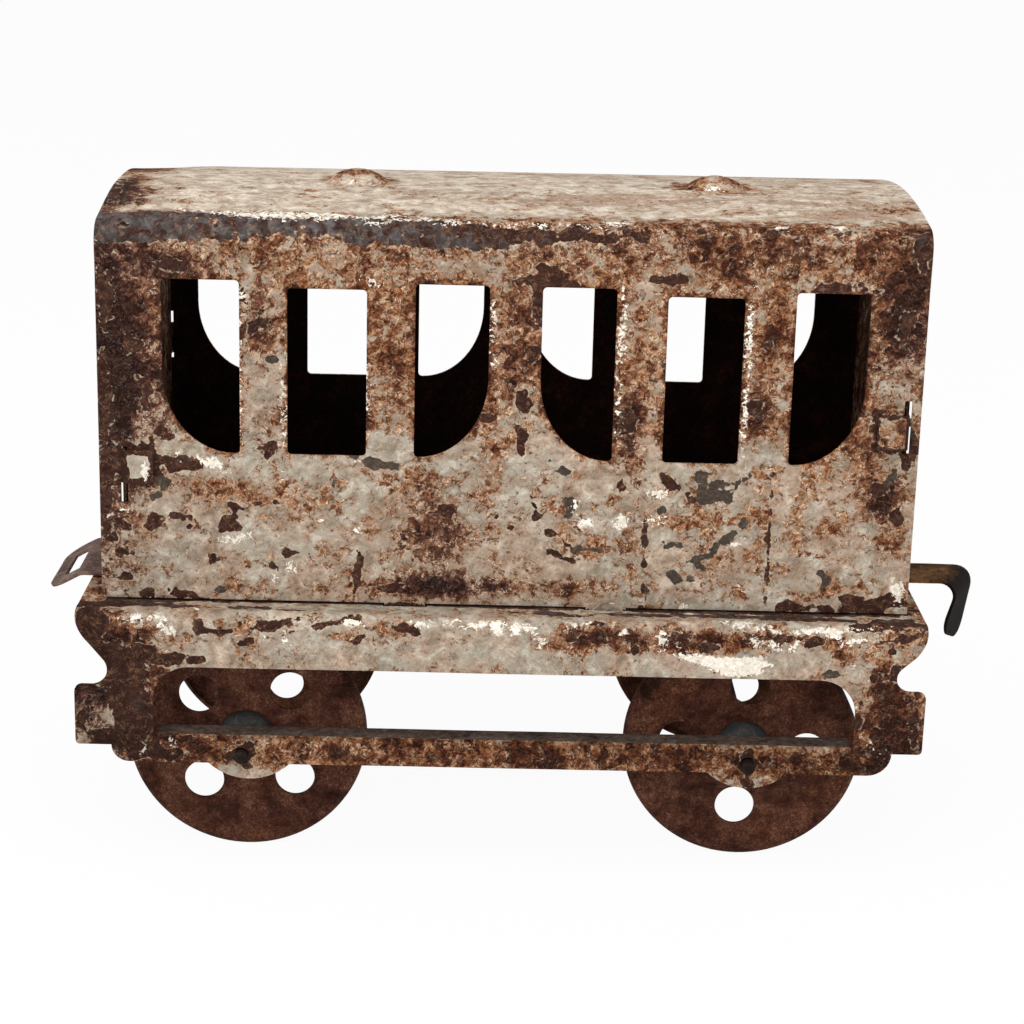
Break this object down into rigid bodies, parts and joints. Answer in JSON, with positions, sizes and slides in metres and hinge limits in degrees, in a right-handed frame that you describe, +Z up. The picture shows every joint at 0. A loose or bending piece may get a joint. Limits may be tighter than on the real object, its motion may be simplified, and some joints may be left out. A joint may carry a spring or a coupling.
{
  "type": "toy train wagon",
  "caption": "Pressed tinplate toy railway coach with a crowned roof, cut-out side windows, tabbed end walls, a pressed chassis with side frames, a hook and eye drawbar and turning disc wheels.",
  "frame": {"origin": "centre of the bounding box in plan, at the height where the wheels touch the ground", "axes": "+X along the coach towards the hook, +Y across towards its back side, +Z up"},
  "size_m": [0.1446, 0.0682, 0.1017],
  "materials": {
    "shell_paint": "worn and rust-stained pale paint",
    "wall_paint": "dark, rusted paint",
    "chassis_paint": "worn and rust-stained pale paint",
    "bare_strip": "dull, browned bare strip",
    "wheel_disc": "matt, rusted dark red-brown",
    "hub_cup": "dull blue-grey",
    "wire": "dull, browned wire"
  },
  "bodies": {
    "coach": {"chassis": "chassis_paint", "body_shell": "shell_paint", "end_wall_left": "wall_paint", "end_wall_right": "wall_paint", "drawbar": "bare_strip"},
    "wheelset_left": {"axle_left": "wire", "wheel_left_front": "wheel_disc", "hub_left_front": "hub_cup", "wheel_left_back": "wheel_disc", "hub_left_back": "hub_cup"},
    "wheelset_right": {"axle_right": "wire", "wheel_right_front": "wheel_disc", "hub_right_front": "hub_cup", "wheel_right_back": "wheel_disc", "hub_right_back": "hub_cup"}
  },
  "joints": [
    {"name": "axle_left_turn", "type": "hinge", "parent": "coach", "child": "wheelset_left", "pos_m": [-0.04087, 0, 0.0182], "axis": [0, 1, 0], "continuous": true},
    {"name": "axle_right_turn", "type": "hinge", "parent": "coach", "child": "wheelset_right", "pos_m": [0.03463, 0, 0.0182], "axis": [0, 1, 0], "continuous": true}
  ]
}
